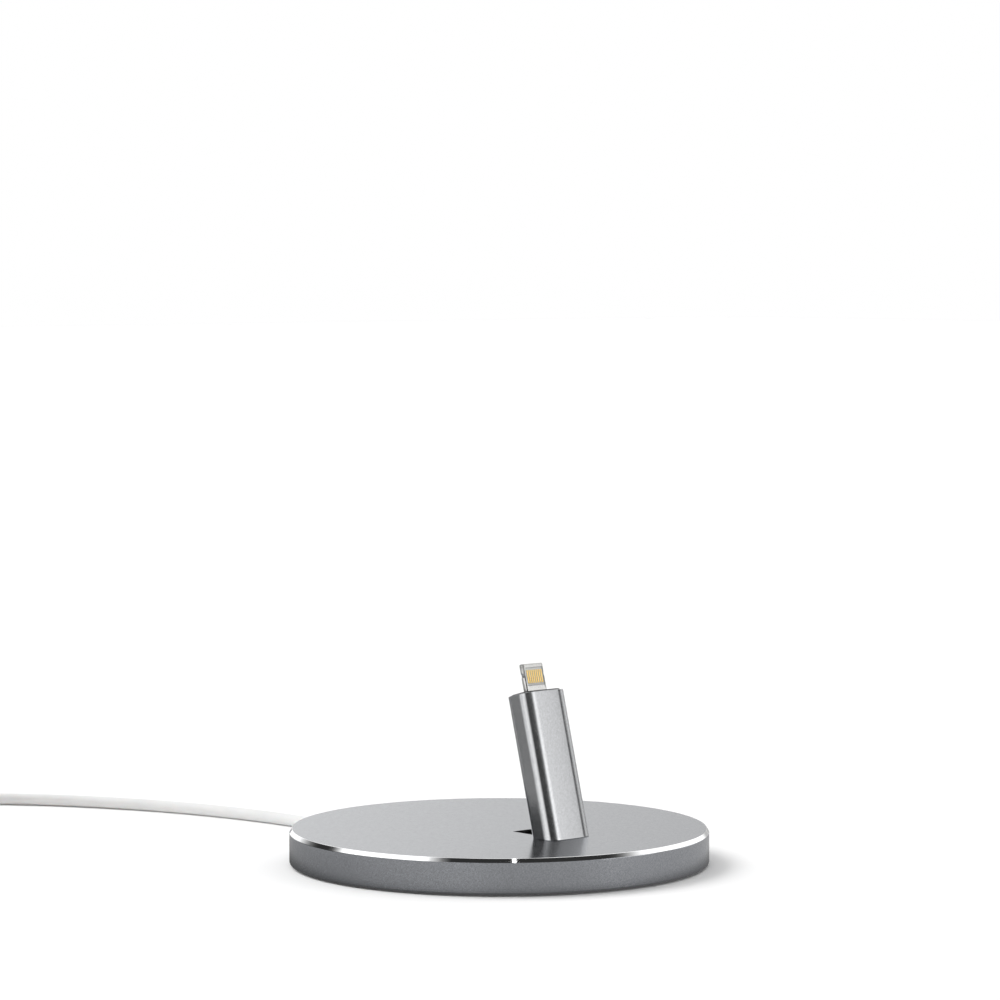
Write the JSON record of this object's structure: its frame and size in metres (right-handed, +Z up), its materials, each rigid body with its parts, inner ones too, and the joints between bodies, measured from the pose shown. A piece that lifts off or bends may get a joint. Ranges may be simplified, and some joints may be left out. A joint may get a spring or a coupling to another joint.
{
  "type": "phone stand",
  "caption": "Round weighted aluminium base with a leaning post that holds a phone upright on a cable's plug, and the cable with its supply plug.",
  "frame": {"origin": "centre of the round base, at the table surface", "axes": "+Z up, -Y the side that the phone's screen faces, +Y the side where the cable leaves, +X to the right seen from the front"},
  "size_m": [0.1497, 0.2379, 0.0488],
  "materials": {
    "aluminium": "fine bead-blasted, anodised light grey, with a bright cut chamfer",
    "mat": "matt silicone",
    "collar": "matt silicone",
    "steel": "plain, zinc-coated",
    "plated_steel": "nickel-plated, satin",
    "black_plastic": "fine moulded grain",
    "tie": "woven hook-and-loop strap",
    "white_plastic": "semi-gloss",
    "gold": "gold-plated, bright",
    "cable": "soft satin cable jacket"
  },
  "bodies": {
    "root": {"base_shell": "aluminium", "post": "aluminium", "base_mat": "mat", "rest_collar": "collar", "ballast_plate": "steel", "ballast_screw_1": "steel", "ballast_screw_2": "steel", "ballast_screw_3": "steel", "post_screw_1": "steel", "post_screw_2": "steel", "plug_carrier": "black_plastic", "coil_tie": "tie", "plug_housing": "white_plastic", "plug_relief": "white_plastic", "plug_insulator": "white_plastic", "supply_housing": "white_plastic", "supply_relief": "white_plastic", "supply_insert": "white_plastic", "plug_tongue": "plated_steel", "supply_shell": "plated_steel", "plug_contact_1": "gold", "plug_contact_2": "gold", "plug_contact_3": "gold", "plug_contact_4": "gold", "plug_contact_5": "gold", "plug_contact_6": "gold", "plug_contact_7": "gold", "plug_contact_8": "gold", "supply_contact_1": "gold", "supply_contact_2": "gold", "supply_contact_3": "gold", "supply_contact_4": "gold", "lead_inner": "cable", "lead_free": "cable", "lead_coil": "cable", "lead_tail": "cable"}
  },
  "joints": []
}
